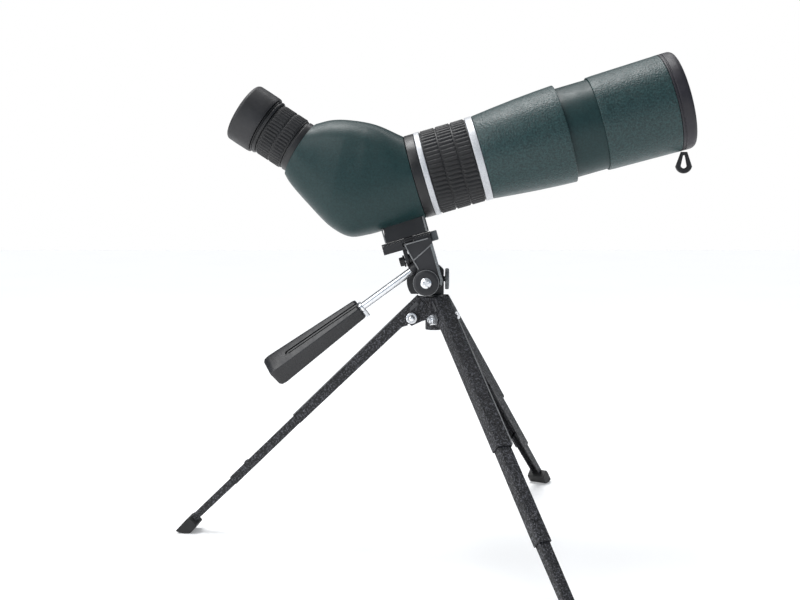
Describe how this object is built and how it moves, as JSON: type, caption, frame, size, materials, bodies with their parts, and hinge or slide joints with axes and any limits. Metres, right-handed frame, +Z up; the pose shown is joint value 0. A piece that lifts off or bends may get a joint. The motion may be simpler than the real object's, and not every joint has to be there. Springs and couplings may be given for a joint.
{
  "type": "spotting scope on mini tripod",
  "caption": "Angled spotting scope with zoom eyepiece, focus ring and sliding hood, on a folding mini tripod with telescoping legs and a pan-tilt head with a grip handle.",
  "frame": {"origin": "on the ground, under the middle of the bounding box", "axes": "+Z up, +X towards the objective, +Y to the left of someone looking through the scope"},
  "size_m": [0.385, 0.355, 0.3603],
  "materials": {
    "green_armour": "satin dark green",
    "black_rubber": "ribbed or moulded, matt",
    "black_plastic": "satin black",
    "trim_silver": "fine brushed",
    "chrome": "polished",
    "powder_coat": "granular black coat",
    "head_grey": "satin grey",
    "brass": "machined",
    "optical_glass": "coated"
  },
  "bodies": {
    "crown": {"tripod_crown": "powder_coat", "left_leg_bolt": "chrome", "left_leg_nut": "chrome", "front_leg_bolt": "chrome", "front_leg_nut": "chrome", "back_leg_bolt": "chrome", "back_leg_nut": "chrome"},
    "pan_head": {"pan_base": "black_plastic"},
    "pan_knob": {"pan_lock_knob": "head_grey"},
    "tilt_body": {"tilt_head": "black_plastic", "head_side_strap": "head_grey", "tilt_disc": "black_plastic", "tilt_screw": "chrome", "flip_bolt": "chrome", "flip_washer": "black_plastic"},
    "handle": {"handle_rod": "chrome", "handle_ferrule": "chrome", "handle_grip": "black_plastic"},
    "clamp_knob": {"flip_clamp_knob": "black_plastic"},
    "scope": {"platform": "black_plastic", "platform_pad": "black_rubber", "platform_stop_lug": "head_grey", "mounting_foot": "black_plastic", "foot_thread_insert": "brass", "prism_housing": "green_armour", "prism_bracket": "black_plastic", "erecting_prism": "optical_glass", "rear_body_ring": "black_plastic", "rear_trim_ring": "trim_silver", "front_trim_ring": "trim_silver", "main_barrel": "green_armour", "front_tube": "green_armour", "objective_cell": "black_plastic", "objective_doublet": "optical_glass", "eyepiece_collar": "black_plastic", "eyepiece_barrel": "black_plastic", "eye_lens": "optical_glass", "eyecup_sleeve": "black_plastic"},
    "camera_screw": {"camera_screw": "black_plastic"},
    "focus_ring": {"focus_ring": "black_rubber"},
    "focus_carriage": {"focus_carriage": "black_plastic", "focus_lens": "optical_glass"},
    "zoom_ring": {"zoom_ring": "black_rubber"},
    "zoom_lens": {"field_lens": "optical_glass"},
    "eyecup": {"eyecup": "black_rubber"},
    "hood": {"sliding_hood": "green_armour"},
    "cap": {"objective_cap": "black_plastic", "cap_pull_loop": "black_rubber"},
    "left_upper": {"left_leg_upper": "powder_coat"},
    "left_middle": {"left_leg_middle": "powder_coat"},
    "left_lower": {"left_leg_lower": "powder_coat", "left_leg_shoe": "black_rubber"},
    "front_upper": {"front_leg_upper": "powder_coat"},
    "front_middle": {"front_leg_middle": "powder_coat"},
    "front_lower": {"front_leg_lower": "powder_coat", "front_leg_shoe": "black_rubber"},
    "back_upper": {"back_leg_upper": "powder_coat"},
    "back_middle": {"back_leg_middle": "powder_coat"},
    "back_lower": {"back_leg_lower": "powder_coat", "back_leg_shoe": "black_rubber"}
  },
  "joints": [
    {"name": "pan", "type": "hinge", "parent": "crown", "child": "pan_head", "pos_m": [0.00568, 0.00635, 0.184], "axis": [0, 0, 1], "continuous": true},
    {"name": "pan_knob_turn", "type": "hinge", "parent": "pan_head", "child": "pan_knob", "pos_m": [0.01383, 0.00829, 0.1967], "axis": [0.9976, -0.0698, 0], "continuous": true},
    {"name": "tilt", "type": "hinge", "parent": "pan_head", "child": "tilt_body", "pos_m": [0.00059, 0.00671, 0.1947], "axis": [-0.0698, -0.9976, 0], "range_deg": [-36, 7]},
    {"name": "handle_twist", "type": "hinge", "parent": "tilt_body", "child": "handle", "pos_m": [-0.01171, 0.00356, 0.20227], "axis": [-0.804, 0.0562, -0.592], "range_deg": [-180, 0]},
    {"name": "side_flip", "type": "hinge", "parent": "tilt_body", "child": "scope", "pos_m": [-0.01303, 0.00766, 0.21076], "axis": [-0.9589, 0.0671, -0.2756], "range_deg": [0, 90]},
    {"name": "clamp_knob_turn", "type": "hinge", "parent": "tilt_body", "child": "clamp_knob", "pos_m": [-0.01687, 0.00793, 0.20966], "axis": [0.9589, -0.0671, 0.2756], "continuous": true},
    {"name": "camera_screw_turn", "type": "hinge", "parent": "scope", "child": "camera_screw", "pos_m": [-0.01258, 0.00763, 0.22368], "axis": [-0.275, 0.0192, 0.9613], "continuous": true},
    {"name": "focus", "type": "hinge", "parent": "scope", "child": "focus_ring", "pos_m": [0.01916, 0.00541, 0.27962], "axis": [0.9589, -0.0671, 0.2756], "range_deg": [0, 300]},
    {"name": "focus_travel", "type": "slide", "parent": "scope", "child": "focus_carriage", "axis": [0.9589, -0.0671, 0.2756], "range_m": [-0.012, 0]},
    {"name": "zoom", "type": "hinge", "parent": "scope", "child": "zoom_ring", "pos_m": [-0.10614, 0.01417, 0.30136], "axis": [-0.8366, 0.0585, 0.5446], "range_deg": [0, 120]},
    {"name": "zoom_travel", "type": "slide", "parent": "scope", "child": "zoom_lens", "axis": [-0.8366, 0.0585, 0.5446], "range_m": [0, 0.018]},
    {"name": "eyecup_pull", "type": "slide", "parent": "scope", "child": "eyecup", "axis": [-0.8366, 0.0585, 0.5446], "range_m": [0, 0.008]},
    {"name": "hood_slide", "type": "slide", "parent": "scope", "child": "hood", "axis": [0.9589, -0.0671, 0.2756], "range_m": [-0.017, 0]},
    {"name": "cap_pull", "type": "slide", "parent": "hood", "child": "cap", "axis": [0.9589, -0.0671, 0.2756], "range_m": [0, 0.012]},
    {"name": "left_leg_fold", "type": "hinge", "parent": "crown", "child": "left_upper", "pos_m": [-0.01026, 0.0078, 0.168], "axis": [-0.0906, -0.9959, 0], "range_deg": [0, 45]},
    {"name": "left_middle_slide", "type": "slide", "parent": "left_upper", "child": "left_middle", "axis": [-0.714, 0.065, -0.6972], "range_m": [-0.05, 0]},
    {"name": "left_lower_slide", "type": "slide", "parent": "left_middle", "child": "left_lower", "axis": [-0.714, 0.065, -0.6972], "range_m": [-0.043, 0]},
    {"name": "front_leg_fold", "type": "hinge", "parent": "crown", "child": "front_upper", "pos_m": [0.01229, -0.00822, 0.168], "axis": [0.9107, 0.4131, 0], "range_deg": [0, 45]},
    {"name": "front_middle_slide", "type": "slide", "parent": "front_upper", "child": "front_middle", "axis": [0.2962, -0.6529, -0.6972], "range_m": [-0.05, 0]},
    {"name": "front_lower_slide", "type": "slide", "parent": "front_middle", "child": "front_lower", "axis": [0.2962, -0.6529, -0.6972], "range_m": [-0.043, 0]},
    {"name": "back_leg_fold", "type": "hinge", "parent": "crown", "child": "back_upper", "pos_m": [0.01432, 0.01981, 0.168], "axis": [-0.8415, 0.5402, 0], "range_deg": [0, 45]},
    {"name": "back_middle_slide", "type": "slide", "parent": "back_upper", "child": "back_middle", "axis": [0.3873, 0.6033, -0.6972], "range_m": [-0.05, 0]},
    {"name": "back_lower_slide", "type": "slide", "parent": "back_middle", "child": "back_lower", "axis": [0.3873, 0.6033, -0.6972], "range_m": [-0.043, 0]}
  ],
  "couplings": [
    {"joint": "focus", "follows": "focus_travel", "rad_per_m": -436.33},
    {"joint": "zoom", "follows": "zoom_travel", "rad_per_m": 116.36}
  ]
}
